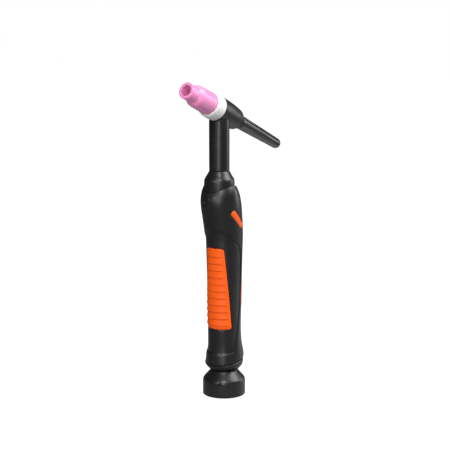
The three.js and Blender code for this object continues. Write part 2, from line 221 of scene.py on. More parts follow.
# fine moulded or sintered skin: a height for the bump and a slow change of tone
def makeSkinGroup():
    group, given, out = newGroup(
        "surfaceSkin",
        [("Grain size", "NodeSocketFloat", 2500.0), ("Cloud size", "NodeSocketFloat", 90.0)],
        [("Height", "NodeSocketFloat"), ("Cloud", "NodeSocketFloat")],
    )
    place = group.nodes.new("ShaderNodeTexCoord").outputs["Object"]
    fine = group.nodes.new("ShaderNodeTexNoise")
    fine.inputs["Detail"].default_value = 3
    group.links.new(place, fine.inputs["Vector"])
    group.links.new(given.outputs["Grain size"], fine.inputs["Scale"])
    pits = group.nodes.new("ShaderNodeTexVoronoi")
    group.links.new(place, pits.inputs["Vector"])
    group.links.new(given.outputs["Grain size"], pits.inputs["Scale"])
    height = addMath(group, "MULTIPLY_ADD", pits.outputs["Distance"], 0.5, fine.outputs["Fac"])
    cloud = group.nodes.new("ShaderNodeTexNoise")
    cloud.inputs["Detail"].default_value = 4
    group.links.new(place, cloud.inputs["Vector"])
    group.links.new(given.outputs["Cloud size"], cloud.inputs["Scale"])
    group.links.new(height, out.inputs["Height"])
    group.links.new(cloud.outputs["Fac"], out.inputs["Cloud"])
    return group


# rubbed edges: 1 where the form turns sharply outwards, broken up by noise
def makeEdgeGroup():
    group, given, out = newGroup(
        "rubbedEdges",
        [("Amount", "NodeSocketFloat", 0.5)],
        [("Mask", "NodeSocketFloat")],
    )
    point = group.nodes.new("ShaderNodeNewGeometry").outputs["Pointiness"]
    edge = group.nodes.new("ShaderNodeMapRange")
    edge.inputs["From Min"].default_value = 0.52
    edge.inputs["From Max"].default_value = 0.6
    group.links.new(point, edge.inputs["Value"])
    place = group.nodes.new("ShaderNodeTexCoord").outputs["Object"]
    broken = addNoise(group, place, 600, 3)
    worn = addMath(group, "MULTIPLY", edge.outputs["Result"], broken)
    mask = addMath(group, "MULTIPLY", worn, given.outputs["Amount"])
    group.links.new(mask, out.inputs["Mask"])
    return group


skinGroup = makeSkinGroup()
edgeGroup = makeEdgeGroup()


texture = {"cloud": 90, "depth": 0.05}


def newMaterial(name, settings):
    material = bpy.data.materials.new(name)
    material.use_nodes = True
    tree = material.node_tree
    shader = tree.nodes["Principled BSDF"]
    skin = tree.nodes.new("ShaderNodeGroup")
    skin.node_tree = skinGroup
    skin.inputs["Grain size"].default_value = settings["grain"]
    skin.inputs["Cloud size"].default_value = texture["cloud"]
    edges = tree.nodes.new("ShaderNodeGroup")
    edges.node_tree = edgeGroup
    edges.inputs["Amount"].default_value = settings.get("wear", 0.4)
    tone = tree.nodes.new("ShaderNodeMix")
    tone.data_type = "RGBA"
    tone.inputs["A"].default_value = (*settings["colour"], 1)
    tone.inputs["B"].default_value = (*settings["tone"], 1)
    tree.links.new(skin.outputs["Cloud"], tone.inputs["Factor"])
    rubbed = tree.nodes.new("ShaderNodeMix")
    rubbed.data_type = "RGBA"
    rubbed.inputs["B"].default_value = (*settings["worn"], 1)
    tree.links.new(edges.outputs["Mask"], rubbed.inputs["Factor"])
    tree.links.new(tone.outputs["Result"], rubbed.inputs["A"])
    tree.links.new(rubbed.outputs["Result"], shader.inputs["Base Color"])
    low, high = settings["roughness"]
    rough = tree.nodes.new("ShaderNodeMapRange")
    rough.inputs["From Min"].default_value = 0.3
    rough.inputs["From Max"].default_value = 0.7
    rough.inputs["To Min"].default_value = low
    rough.inputs["To Max"].default_value = high
    tree.links.new(skin.outputs["Cloud"], rough.inputs["Value"])
    tree.links.new(rough.outputs["Result"], shader.inputs["Roughness"])
    bump = tree.nodes.new("ShaderNodeBump")
    bump.inputs["Strength"].default_value = settings["bump"]
    bump.inputs["Distance"].default_value = texture["depth"] * mm
    tree.links.new(skin.outputs["Height"], bump.inputs["Height"])
    tree.links.new(bump.outputs["Normal"], shader.inputs["Normal"])
    shader.inputs["Metallic"].default_value = settings.get("metallic", 0)
    shader.inputs["IOR"].default_value = settings.get("ior", 1.5)
    shader.inputs["Coat Weight"].default_value = settings.get("coat", 0)
    return material


finishes = {
    "aluminaPink": {
        "colour": (0.83, 0.25, 0.52), "tone": (0.87, 0.3, 0.58), "worn": (0.9, 0.5, 0.7),
        "roughness": (0.3, 0.4), "grain": 2200, "bump": 0.06, "coat": 0.15, "wear": 0.0,
    },
    "ptfeWhite": {
        "colour": (0.82, 0.82, 0.81), "tone": (0.76, 0.76, 0.75), "worn": (0.9, 0.9, 0.9),
        "roughness": (0.42, 0.55), "grain": 1800, "bump": 0.12, "wear": 0.1,
    },
    "headRubber": {
        "colour": (0.006, 0.006, 0.007), "tone": (0.009, 0.009, 0.01), "worn": (0.03, 0.03, 0.03),
        "roughness": (0.33, 0.4), "grain": 2600, "bump": 0.1, "wear": 0.4,
    },
    "handlePlastic": {
        "colour": (0.006, 0.006, 0.007), "tone": (0.009, 0.009, 0.01), "worn": (0.04, 0.04, 0.042),
        "roughness": (0.33, 0.4), "grain": 2400, "bump": 0.1, "wear": 0.5,
    },
    "orangeGrip": {
        "colour": (0.97, 0.115, 0.002), "tone": (0.93, 0.1, 0.002), "worn": (0.97, 0.22, 0.02),
        "roughness": (0.48, 0.6), "grain": 2200, "bump": 0.2, "wear": 0.4, "ior": 1.35,
    },
    "orangeBadge": {
        "colour": (0.97, 0.115, 0.002), "tone": (0.93, 0.1, 0.002), "worn": (0.97, 0.22, 0.02),
        "roughness": (0.4, 0.5), "grain": 2600, "bump": 0.15, "wear": 0.3, "ior": 1.4,
    },
    "phenolicBlack": {
        "colour": (0.005, 0.005, 0.006), "tone": (0.008, 0.008, 0.009), "worn": (0.03, 0.03, 0.03),
        "roughness": (0.2, 0.28), "grain": 2000, "bump": 0.08, "wear": 0.4, "coat": 0.2,
    },
    "switchPlastic": {
        "colour": (0.006, 0.006, 0.007), "tone": (0.009, 0.009, 0.01), "worn": (0.04, 0.04, 0.04),
        "roughness": (0.33, 0.42), "grain": 2600, "bump": 0.2,
    },
    "sealRubber": {
        "colour": (0.006, 0.006, 0.006), "tone": (0.01, 0.01, 0.01), "worn": (0.03, 0.03, 0.03),
        "roughness": (0.45, 0.6), "grain": 3000, "bump": 0.2,
    },
    "copper": {
        "colour": (0.8, 0.35, 0.19), "tone": (0.66, 0.26, 0.13), "worn": (0.9, 0.5, 0.33),
        "roughness": (0.25, 0.42), "grain": 1500, "bump": 0.2, "metallic": 1,
    },
    "brass": {
        "colour": (0.75, 0.52, 0.2), "tone": (0.62, 0.42, 0.16), "worn": (0.85, 0.66, 0.35),
        "roughness": (0.24, 0.4), "grain": 1500, "bump": 0.2, "metallic": 1,
    },
    "tungsten": {
        "colour": (0.33, 0.34, 0.35), "tone": (0.26, 0.27, 0.28), "worn": (0.5, 0.5, 0.52),
        "roughness": (0.28, 0.42), "grain": 3000, "bump": 0.25, "metallic": 1,
    },
    "zincSteel": {
        "colour": (0.56, 0.57, 0.58), "tone": (0.47, 0.48, 0.5), "worn": (0.7, 0.7, 0.7),
        "roughness": (0.25, 0.4), "grain": 2500, "bump": 0.2, "metallic": 1,
    },
    "blackSteel": {
        "colour": (0.03, 0.03, 0.032), "tone": (0.045, 0.045, 0.047), "worn": (0.15, 0.15, 0.15),
        "roughness": (0.35, 0.5), "grain": 2500, "bump": 0.2, "metallic": 1,
    },
    "acetalDark": {
        "colour": (0.018, 0.018, 0.019), "tone": (0.024, 0.024, 0.025), "worn": (0.06, 0.06, 0.06),
        "roughness": (0.28, 0.38), "grain": 2600, "bump": 0.15,
    },
    "leadSheath": {
        "colour": (0.014, 0.014, 0.015), "tone": (0.02, 0.02, 0.021), "worn": (0.05, 0.05, 0.05),
        "roughness": (0.45, 0.55), "grain": 2600, "bump": 0.3,
    },
}
materials = {name: newMaterial(name, settings) for name, settings in finishes.items()}
print("materials made", len(materials))

nodeFinishes = {
    "copper": ["collet_body", "collet", "gas_power_tube"],
    "brass": ["torch_head_core", "tube_coupling_nut", "cable_fitting"],
    "acetalDark": ["neck_clamp", "micro_switch", "lead_connector"],
    "leadSheath": ["control_lead"],
}
for finish, nodes in nodeFinishes.items():
    for node in nodes:
        mesh = frame["nodes"][node].data
        mesh.materials.clear()
        mesh.materials.append(materials[finish])


# the head, along its own line
nozzle = {"body": 8.5, "tip": 6.3, "bore": 4.0, "end": 46.3}
gasNozzle = turnPiece("gasNozzle", headLine, [
    (nozzle["body"], 8.9, 0.3), (nozzle["body"], 31.4), (8.42, 32.6), (8.18, 33.7), (7.8, 34.6),
    (7.25, 35.5), (6.8, 36.2), (6.45, 36.9), (6.32, 37.7), (nozzle["tip"], 38.6),
    (nozzle["tip"], nozzle["end"], 0.8),
    (nozzle["bore"], nozzle["end"], 0.35), (nozzle["bore"], 36, 1.5), (5.9, 25, 1.5), (5.9, 8.9, 0.2),
], 128)
finishPiece(gasNozzle, "gas_nozzle", "nozzle", materials["aluminaPink"])

shield = {"outer": 10.1, "inner": 6.1, "low": 5.1, "high": 15.8}
heatShield = turnPiece("heatShield", headLine, [
    (shield["inner"], shield["low"], 0.2), (shield["outer"] - 0.15, shield["low"], 0.5),
    (shield["outer"], 9.0), (shield["outer"], 12.6), (10.0, 13.8), (9.75, 14.8), (9.4, 15.4),
    (8.95, shield["high"], 0.1), (8.63, 15.7, 0.08), (8.62, 8.7, 0.1), (shield["inner"], 8.6, 0.1),
], 128)
finishPiece(heatShield, "heat_shield_ring", "torch_body", materials["ptfeWhite"])

flutes = {"count": 10, "radius": 0.75, "away": 5.65, "low": -47, "high": -30.5}


def fluteTool(turn):  # a round-ended rod that lies along the cap
    radial = headLine["side"] * math.cos(turn) + headLine["along"].cross(headLine["side"]) * math.sin(turn)
    centre = headLine["centre"] + radial * (flutes["away"] * mm)
    line = {"centre": centre, "along": headLine["along"], "side": radial}
    r, low, high = flutes["radius"], flutes["low"], flutes["high"]
    return turnPiece("flute", line, [
        (0, low), (r * 0.5, low + 0.15), (r * 0.87, low + 0.6), (r, low + 1.3), (r, high - 1.3),
        (r * 0.87, high - 0.6), (r * 0.5, high - 0.15), (0, high),
    ], 16)


capOutline = [
    (1.6, -13.2, 0.2), (4.9, -13.2, 0.4), (4.9, -25.9, 0.15), (4.2, -26.1, 0.15), (4.2, -28, 0.15),
    (5.1, -28.2, 0.2), (5.45, -28.9, 0.3), (4.25, -86.8), (4.2, -87.8), (3.95, -88.9), (3.45, -89.8),
    (2.7, -90.45), (1.8, -90.72), (0, -90.8),
]
backCap = turnPiece("backCap", headLine, [(0, -86.5), (1.6, -86.5, 0.3)] + capOutline, 120)
for number in range(flutes["count"]):
    cut(backCap, fluteTool(2 * math.pi * number / flutes["count"]))
shadeSmooth(35)
finishPiece(backCap, "back_cap", "cap", materials["phenolicBlack"])

capSeal = turnPiece("capSeal", headLine, [
    (4.95, -26.95, 0.05), (5.15, -26.45, 0.1), (5.6, -26.32, 0.15), (6.0, -26.6, 0.15),
    (6.15, -27.02, 0.05), (6.15, -27.18, 0.05), (6.0, -27.6, 0.15), (5.6, -27.88, 0.15),
    (5.15, -27.75, 0.1), (4.95, -27.25, 0.05),
], 96)
finishPiece(capSeal, "back_cap_o_ring", "cap_travel", materials["sealRubber"])

electrodeTip = turnPiece("electrode", headLine, [
    (0, -84), (1.0, -84, 0.1), (1.2, -83.8, 0.1), (1.2, 27.2), (1.15, 27.4), (0.25, 32.4),
    (0.2, 32.9, 0.1), (0, 33),
], 48)
finishPiece(electrodeTip, "tungsten_electrode", "electrode", materials["tungsten"])


# the neck stands in a cone that closes the handle's mouth
neckEnd = 94.62
neckCollar = turnPiece("neckCollar", neckLine, [
    (6.5, neckEnd, 0.15), (7.82, neckEnd, 0.12), (8.15, neckEnd - 0.6), (8.6, neckEnd - 1.4),
    (9.2, neckEnd - 2.5), (9.9, neckEnd - 3.8), (10.6, neckEnd - 4.8), (11.2, neckEnd - 5.8),
    (11.55, neckEnd - 6.7), (11.7, neckEnd - 7.5), (11.75, neckEnd - 8.2), (11.75, 78, 0.4),
    (10.2, 78, 0.3), (10.2, 84, 0.5), (6.5, 86, 0.4),
], 128, 50)
finishPiece(neckCollar, "neck_collar", "torch_body", materials["headRubber"])


# the cable outlet turns about the ball's centre
def roundAbout(radius, start, end, steps):  # points on a circle about the ball's centre
    angles = [math.radians(start + (end - start) * i / steps) for i in range(steps + 1)]
    return [(radius * math.cos(angle), radius * math.sin(angle)) for angle in angles]


ball = {"radius": 10.5, "clear": 0.3}
seatRadius = ball["radius"] + ball["clear"]

swivelBall = turnPiece("swivelBall", outletLine, roundAbout(ball["radius"], 62, -54, 24) + [
    (5.9, -10.2), (5.9, -26.2, 0.4), (4.6, -26.2, 0.4), (4.6, 8.6, 0.5),
])
finishPiece(swivelBall, "swivel_ball", "outlet", materials["acetalDark"])

ballSeat = turnPiece("ballSeat", outletLine, roundAbout(seatRadius, 17, 46, 10) + [
    (8.2, 8.4, 0.2), (11.3, 8.4, 0.4), (11.3, 3.2, 0.3),
])
finishPiece(ballSeat, "ball_seat_ring", "outlet_turn", materials["acetalDark"])

outletEnd = (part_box("cable_collar")[0].z - outletLine["centre"].z) / mm
collar = {"radius": 16.75, "inner": 13.8, "bottom": outletEnd}
cableCollar = turnPiece("cableCollar", outletLine, roundAbout(17.3, -66, -51.5, 6) + [
    (11.0, -14.0, 0.3), (12.9, -16.2), (14.3, -17.75), (15.5, -19.1), (16.15, -20.0), (16.55, -20.9),
    (16.72, -21.7), (collar["radius"], -22.4), (collar["radius"], collar["bottom"], 0.4),
    (collar["inner"], collar["bottom"], 0.5), (collar["inner"], -20.6, 1.0),
    (6.2, -20.6, 0.3), (6.2, -16.2, 0.2),
], 144, 45)
setScrew = {"turn": 23, "height": -21.9, "hole": 1.3}


def outward(degrees):  # level direction, counted round from the torch's front towards +X
    return Vector((math.sin(math.radians(degrees)), -math.cos(math.radians(degrees)), 0))


# a round bar between two distances from a line, with its ends left flat
def crossBar(radius, low, high, centre, direction, sides=48):
    middle = centre + direction * ((low + high) / 2 * mm)
    bpy.ops.mesh.primitive_cylinder_add(
        vertices=sides, radius=radius * mm, depth=(high - low) * mm, location=middle,
        rotation=direction.to_track_quat("Z", "Y").to_euler(),
    )
    bar = bpy.context.object
    settle(bar)
    return bar


screwSide = outward(setScrew["turn"])
screwPlace = outletLine["centre"] + Vector((0, 0, setScrew["height"] * mm))
cut(cableCollar, crossBar(setScrew["hole"], 13, 20, screwPlace, screwSide))
shadeSmooth(45)
finishPiece(cableCollar, "cable_collar", "outlet", materials["handlePlastic"])

screwLine = {"centre": screwPlace, "along": screwSide, "side": upward}
collarScrew = turnPiece("collarScrew", screwLine, [
    (0, 13), (0.75, 13), (1, 13.3), (1, 15.4, 0.1), (0.6, 15.4, 0.05), (0.5, 14.5), (0, 14.2),
], 36)
finishPiece(collarScrew, "collar_set_screw", "outlet", materials["blackSteel"])

nut = {"sides": 8, "radius": 9.6, "depth": 3.5, "height": -22.65, "bore": 6.2, "bevel": 0.3}
bpy.ops.mesh.primitive_cylinder_add(
    vertices=nut["sides"], radius=nut["radius"] * mm, depth=nut["depth"] * mm,
    location=onLine(outletLine, 0, nut["height"]),
)
lockNut = bpy.context.object
lockNut.name = "lockNut"
settle(lockNut)
openPiece(lockNut)
bpy.ops.mesh.select_all(action="SELECT")
bpy.ops.mesh.bevel(offset=nut["bevel"] * mm, segments=2)
closePiece()
cut(lockNut, crossBar(nut["bore"], -30, -10, outletLine["centre"], upward, 64))
shadeSmooth(30)
finishPiece(lockNut, "collar_lock_nut", "outlet", materials["acetalDark"])


# half width of the handle at heights from the lower rim up to the mouth
handle = {
    "heights": [-57, -52, -44, -32, -8, 16, 39, 57, 68, 73, 75.2, 77.4, 79, 80.3, 81.3],
    "widths": [
        14.85, 14.6, 13.5, 13, 13.35, 13.75, 14.35, 15.05, 15.4, 15.05, 14.7, 14.15, 13.65, 13, 12.5,
    ],
    "depth": 1.08, "rim": -54.8, "mouth": 81.3, "mouthRadius": 12.05, "split": 0.03,
    "recess": 0.7, "pocket": 1.3, "gap": 0.3, "wall": 3.2, "rimWall": 1.5,
    "groove": 0.4, "rimRound": 0.5, "seam": 0.12, "lip": 0.2,
}
scaleCount = 11  # ribs of the front grip
scalePitch = 60 / scaleCount
scaleLow = -26.5


def smoothCurve(value, places, sizes):  # a smooth curve through the given sizes
    places, sizes = np.array(places, float), np.array(sizes, float)
    slopes = np.gradient(sizes, places)
    value = np.clip(value, places[0], places[-1])
    k = np.clip(np.searchsorted(places, value) - 1, 0, len(places) - 2)
    step = places[k + 1] - places[k]
    t = (value - places[k]) / step
    near = (1 + 2 * t) * (1 - t) ** 2 * sizes[k] + t * (1 - t) ** 2 * step * slopes[k]
    far = t * t * (3 - 2 * t) * sizes[k + 1] + t * t * (t - 1) * step * slopes[k + 1]
    return near + far


def halfWidth(z):
    return smoothCurve(z, handle["heights"], handle["widths"])


# the middle of the handle runs from the neck's line back to the lower line, then bulges at the rim
def spineY(z):
    lean = 1 - smoothStep(84 - z, 0, 45)
    return (neckLine["centre"].y / mm + 0.8) * lean + smoothStep(-30 - z, 0, 20)


def slant(z):  # the lower end is cut aslant, with the back higher than the front
    return 0.013 * smoothStep(z, 62, 80) + 0.2 * smoothStep(-z, 38, 54)


def saddle(z):  # how much higher than its front and back the sides of the mouth stand
    return 2.6 * smoothStep(z, 64, 80)


def wallAt(z):
    return handle["rimWall"] + (handle["wall"] - handle["rimWall"]) * smoothStep(z, -40, -34)


# stacked ovals of the handle's outline, inset by some depth, smoothed and closed at both ends
def handleForm(name, inset, low, high, levels, sides=32, spacing=scalePitch * 2 / 3):
    count = round((high - low) / spacing)
    heights = [low + (high - low) * i / count for i in range(count + 1)]
    grow = 3 / (2 + math.cos(2 * math.pi / sides))  # subdivision pulls a ring in by this much
    sizes = []
    for z in heights:
        width = (halfWidth(z) - inset(z)) * grow
        sizes.append((width, width + (handle["depth"] - 1) * halfWidth(z) * grow))
    bpy.ops.mesh.primitive_circle_add(vertices=sides, radius=mm, location=(0, spineY(low) * mm, low * mm))
    form = bpy.context.object
    form.name = name
    settle(form)
    openPiece(form)
    bpy.ops.mesh.select_all(action="SELECT")
    centre = Vector((0, spineY(low), low)) * mm
    bpy.ops.transform.resize(value=(sizes[0][0], sizes[0][1], 1), center_override=centre)
    for k in range(1, len(heights)):
        there = Vector((0, spineY(heights[k]), heights[k])) * mm
        bpy.ops.mesh.extrude_region_move(TRANSFORM_OT_translate={"value": there - centre})
        centre = there
        change = (sizes[k][0] / sizes[k - 1][0], sizes[k][1] / sizes[k - 1][1], 1)
        bpy.ops.transform.resize(value=change, center_override=centre)
    closePiece()
    fine = form.modifiers.new("fine", "SUBSURF")
    fine.levels = fine.render_levels = levels
    applyModifiers(form)
    places = vertexPlaces(form)
    heights = places[:, 2].copy()
    back = places[:, 1] - spineY(heights)
    turned = np.clip(back / (halfWidth(heights) * handle["depth"] - inset(heights)), -1, 1)
    places[:, 2] += slant(heights) * back + saddle(heights) * (1 - 2 * turned ** 2)
    form.data.vertices.foreach_set("co", (places * mm).ravel())
    openPiece(form)
    bpy.ops.mesh.select_all(action="DESELECT")
    bpy.ops.mesh.select_non_manifold()
    bpy.ops.mesh.edge_face_add()
    faceOutwards()
    closePiece()
    return form


# pushes a form's skin inwards by depth, times a share from 0 to 1 given for each vertex
def press(form, depth, shareAt):
    shares = np.clip(shareAt(*vertexPlaces(form).T), 0, 1)
    group = form.vertex_groups.new(name="pressed")
    for index in np.flatnonzero(shares > 0.001):
        group.add([int(index)], float(shares[index]), "REPLACE")
    dent = form.modifiers.new("dent", "DISPLACE")
    dent.mid_level = 0
    dent.strength = -depth * mm
    dent.vertex_group = group.name
    applyModifiers(form)
    form.vertex_groups.clear()


def softened(outline, rounds=2):  # cuts the corners off an outline, again and again
    for _ in range(rounds):
        cutCorners = []
        for a, b in zip(outline, outline[1:] + outline[:1]):
            cutCorners.append((a[0] * 0.75 + b[0] * 0.25, a[1] * 0.75 + b[1] * 0.25))
            cutCorners.append((a[0] * 0.25 + b[0] * 0.75, a[1] * 0.25 + b[1] * 0.75))
        outline = cutCorners
    return outline


# how far each place is inside an outline in the side view, negative outside
def insideBy(y, z, outline):
    nearest = np.full(y.shape, 1e9)
    inside = np.zeros(y.shape, bool)
    for (ay, az), (by, bz) in zip(outline, outline[1:] + outline[:1]):
        length = (by - ay) ** 2 + (bz - az) ** 2
        share = np.clip(((y - ay) * (by - ay) + (z - az) * (bz - az)) / length, 0, 1)
        nearest = np.minimum(nearest, np.hypot(y - ay - share * (by - ay), z - az - share * (bz - az)))
        crosses = (az > z) != (bz > z)
        inside ^= crosses & (y < ay + (z - az) * (by - ay) / (bz - az if bz != az else 1))
    return np.where(inside, nearest, -nearest)


# a block right through the handle, from an outline of (y, z) seen from the side
def sideBlock(name, outline, low=-30, high=30):
    points = [Vector((low, y, z)) * mm for y, z in outline]
    block = drawWire(name, points, True)
    bpy.ops.mesh.select_all(action="SELECT")
    bpy.ops.mesh.edge_face_add()
    bpy.ops.mesh.extrude_region_move(TRANSFORM_OT_translate={"value": ((high - low) * mm, 0, 0)})
    faceOutwards()
    closePiece()
    return block


def grown(outline, by):  # every point moves out, square to the line between its neighbours
    around = zip(outline, outline[1:] + outline[:1])
    by = math.copysign(by, sum(a[0] * b[1] - a[1] * b[0] for a, b in around))
    moved = []
    for before, point, after in zip(outline[-1:] + outline[:-1], outline, outline[1:] + outline[:1]):
        out = Vector((after[1] - before[1], before[0] - after[0])).normalized() * by
        moved.append((point[0] + out.x, point[1] + out.y))
    return moved


# what is let into the handle, as (y, z) from the side
recessEdge = softened([
    (-30, 54.4), (-22, 52.6), (-18, 51.6), (-14.5, 49.6), (-10.2, 45.6), (-5.2, 41.2), (0.6, 35.8), (3.2, 31),
    (4.4, 26), (4.2, 12), (3.6, -8), (1.2, -26), (-2.2, -42), (-3.2, -45.6), (-4.6, -47.4), (-7, -48.2),
    (-14, -48.8), (-30, -50),
])
frontGripEdge = [(-30, 35.2), (-13.2, 35.2), (-12.3, 34.9), (-11.6, 34), (-5.6, -27.4), (-5.8, -28.3),
                 (-6.8, -28.8), (-30, -28.8)]
rearGripEdge = softened([
    (30, 30), (20, 30), (13.2, 29.6), (11.6, 20), (9.4, 9), (6.8, 2.5), (6, -2.6), (6.8, -8),
    (9.4, -15), (11.6, -26), (13.2, -37.6), (20, -38), (30, -38),
], 1)
badge = {
    "y": -2.7, "z": 57.6, "length": 14.6, "radius": 2.2, "lean": 46,
    "proud": 0.25, "edge": 0.45, "pocket": 1,
}


def badgeEdge(grow):
    lean = math.radians(badge["lean"])
    points = []
    for middle, start in ((badge["length"] / 2, 0), (-badge["length"] / 2, 180)):
        for turn in range(start, start + 181, 15):
            y = (badge["radius"] + grow) * math.cos(math.radians(turn))
            z = (badge["radius"] + grow) * math.sin(math.radians(turn)) + middle
            points.append((badge["y"] + y * math.cos(lean) - z * math.sin(lean),
                           badge["z"] + z * math.cos(lean) + y * math.sin(lean)))
    return points


# the recess fades out towards the front of its upper end
def recessShare(x, y, z):
    soft = 0.65 + 0.2 * smoothStep(-z, 40, 46)
    return smoothStep(insideBy(y, z, recessEdge), -soft, soft) * (1 - smoothStep(z, 46, 51.5))


def grooveShare(x, y, z):  # a fine line along the recess's border
    near = np.abs(insideBy(y, z, recessEdge) - 0.35)
    return (1 - smoothStep(near, 0, 0.8)) * (1 - smoothStep(z, 44, 50)) * smoothStep(z, 0, 25)


def rimRoundShare(x, y, z):  # the lower rim is rounded off
    above = z - slant(z) * (y - spineY(z)) - handle["rim"]
    return (1 - smoothStep(above, -0.2, 1.0)) ** 2


def seamShare(x, y, z):  # a fine rounding on both sides of the parting line
    return 1 - smoothStep(np.abs(x), 0.05, 0.45)


def frontLipShare(x, y, z):
    return smoothStep(insideBy(y, z, frontGripEdge), -0.9, -0.1)


def rearLipShare(x, y, z):
    return smoothStep(insideBy(y, z, rearGripEdge), -0.9, -0.1)


def badgeLipShare(x, y, z):
    return smoothStep(insideBy(y, z, badgeEdge(0)), -0.8, -0.1)


low, high = handle["rim"], handle["mouth"]
body = handleForm("handleBody", lambda z: 0, low, high, 3)
press(body, handle["recess"], recessShare)
press(body, handle["groove"], grooveShare)
press(body, handle["rimRound"], rimRoundShare)
press(body, handle["seam"], seamShare)
for share in (frontLipShare, rearLipShare, badgeLipShare):
    press(body, handle["lip"], share)
cut(body, handleForm("cavity", wallAt, -70, 70, 2))
cut(body, crossBar(handle["mouthRadius"], 66, 100, neckLine["centre"], upward, 128))
print("handle body hollowed", len(body.data.polygons))

# screw posts across the inside, with the heads let in from the left
screws = [(47.5, 6), (-14, 5), (-36, 5)]  # height and depth of each
screwHead = {"radius": 2.8, "face": -10.6, "shank": 1.4, "length": 18.4, "socket": 0.95}
post = {"radius": 3.6, "inset": 1.6, "bore": 1.7, "headBore": 3.1, "headDepth": 3.4, "boreDepth": 18.7}


def screwCentre(place):
    return Vector((0, place[1], place[0])) * mm


for place in screws:
    bar = crossBar(post["radius"], -17, 17, screwCentre(place), across, 40)
    cut(bar, handleForm("inside", lambda z: post["inset"], -56, 76, 1), "INTERSECT")
    cut(body, bar, "UNION")
face = screwHead["face"]
for place in screws:
    cut(body, crossBar(post["bore"], face, face + post["boreDepth"], screwCentre(place), across, 32))
    cut(body, crossBar(post["headBore"], -20, face + post["headDepth"], screwCentre(place), across, 48))


def pocket(name, outline, floor):
    tool = sideBlock(name, outline)
    cut(tool, handleForm("floor", lambda z: floor, -56, 76, 2))
    cut(body, tool)


pocket("frontPocket", grown(frontGripEdge, handle["gap"]), handle["recess"] + handle["pocket"])
pocket("rearPocket", grown(rearGripEdge, handle["gap"]), handle["pocket"])
pocket("badgePocket", badgeEdge(handle["gap"]), badge["pocket"])

# the start button points out of the front, turned a little to the left
button = {"turn": -21.6, "z": 70.8, "hole": 2.4}
buttonLine = {
    "centre": Vector((0, float(spineY(button["z"])), button["z"])) * mm,
    "along": outward(button["turn"]),
    "side": upward,
}
cut(body, crossBar(button["hole"], 5, 25, buttonLine["centre"], buttonLine["along"]))
dish = turnPiece("dish", buttonLine, [
    (0, 15.7), (2.6, 15.7), (2.9, 15.9), (3.3, 16.6), (3.6, 17.6), (3.7, 19), (0, 19),
])
cut(body, dish)


def splitHalf(name, side):  # keeps one side of the parting line and closes the cut
    half = body.copy()
    half.data = body.data.copy()
    half.name = name
    bpy.context.collection.objects.link(half)
    openPiece(half)
    bpy.ops.mesh.select_all(action="SELECT")
    bpy.ops.mesh.bisect(
        plane_co=(side * handle["split"] * mm, 0, 0), plane_no=(-side, 0, 0), use_fill=True,
        clear_outer=True, clear_inner=False, threshold=0.001 * mm,
    )
    closePiece()
    shadeSmooth(40)
    return half


shellRight = splitHalf("handleShellRight", 1)
shellLeft = splitHalf("handleShellLeft", -1)
bpy.data.objects.remove(body, do_unlink=True)
finishPiece(shellRight, "handle_shell_right", "torch_body", materials["handlePlastic"])
finishPiece(shellLeft, "handle_shell_left", "torch_body", materials["handlePlastic"])


def inlaid(name, form, outline, floor):  # the part of a form inside an outline, down to a floor
    cut(form, handleForm("floor", lambda z: floor - handle["gap"], -56, 76, 2))
    cut(form, sideBlock("edge", outline), "INTERSECT")
    form.name = name
    shadeSmooth(50)
    return form


# overlapping scales: each swells towards its lower edge, then steps back in, and fades at the side
def scaleShare(x, y, z):
    along = (z - scaleLow) / scalePitch
    inRow = (along >= -0.02) & (along < scaleCount)
    step = along - np.floor(along)
    swell = (1 - step) ** 1.15 * smoothStep(step, 0.0, 0.17)
    fade = smoothStep(insideBy(y, z, frontGripEdge), 1.3, 2.7)
    return np.where(inRow, swell * fade, 0)


def rimShare(outline, reach):
    return lambda x, y, z: 1 - smoothStep(insideBy(y, z, outline), 0, reach)


grip = {"under": 0.1, "proud": 0.15, "edge": 0.45, "swell": 0.85, "rearEdge": 0.5}
frontForm = handleForm(
    "frontForm", lambda z: handle["recess"] - grip["under"],
    scaleLow - scalePitch * 2, scaleLow + scalePitch * 14, 3, 40,
)
press(frontForm, grip["edge"], rimShare(frontGripEdge, 0.9))
press(frontForm, -grip["swell"], scaleShare)
frontGrip = inlaid("frontGrip", frontForm, frontGripEdge, handle["recess"] + handle["pocket"])
finishPiece(frontGrip, "front_grip_insert", "torch_body", materials["orangeGrip"])

rearForm = handleForm("rearForm", lambda z: -grip["proud"], -46, 38, 3, 40)
press(rearForm, grip["rearEdge"], rimShare(rearGripEdge, 1.0))
rearGrip = inlaid("rearGrip", rearForm, rearGripEdge, handle["pocket"])
finishPiece(rearGrip, "rear_grip_insert", "torch_body", materials["orangeGrip"])

for side, name, node in ((1, "badgeRight", "badge_right"), (-1, "badgeLeft", "badge_left")):
    badgeForm = handleForm("badgeForm", lambda z: -badge["proud"], 44, 72, 4, 36)
    press(badgeForm, badge["edge"], rimShare(badgeEdge(0), 0.8))
    cut(badgeForm, handleForm("floor", lambda z: badge["pocket"] - handle["gap"], 30, 76, 2))
    outer = sideBlock("edge", badgeEdge(0), *((0, 30) if side > 0 else (-30, 0)))
    cut(badgeForm, outer, "INTERSECT")
    badgeForm.name = name
    shadeSmooth(50)
    finishPiece(badgeForm, node, "torch_body", materials["orangeBadge"])

startButton = turnPiece("startButton", buttonLine, [
    (0, 10.2), (1, 10.2, 0.1), (1, 11.8, 0.1), (3, 11.8, 0.2), (3, 12.8, 0.2), (2.1, 12.8, 0.1),
    (2.1, 15.9, 0.25), (1.75, 16.35, 0.2), (1.3, 16.5), (0.9, 16.4), (0.45, 16.32), (0, 16.3),
], 72)
finishPiece(startButton, "start_button", "button", materials["switchPlastic"])

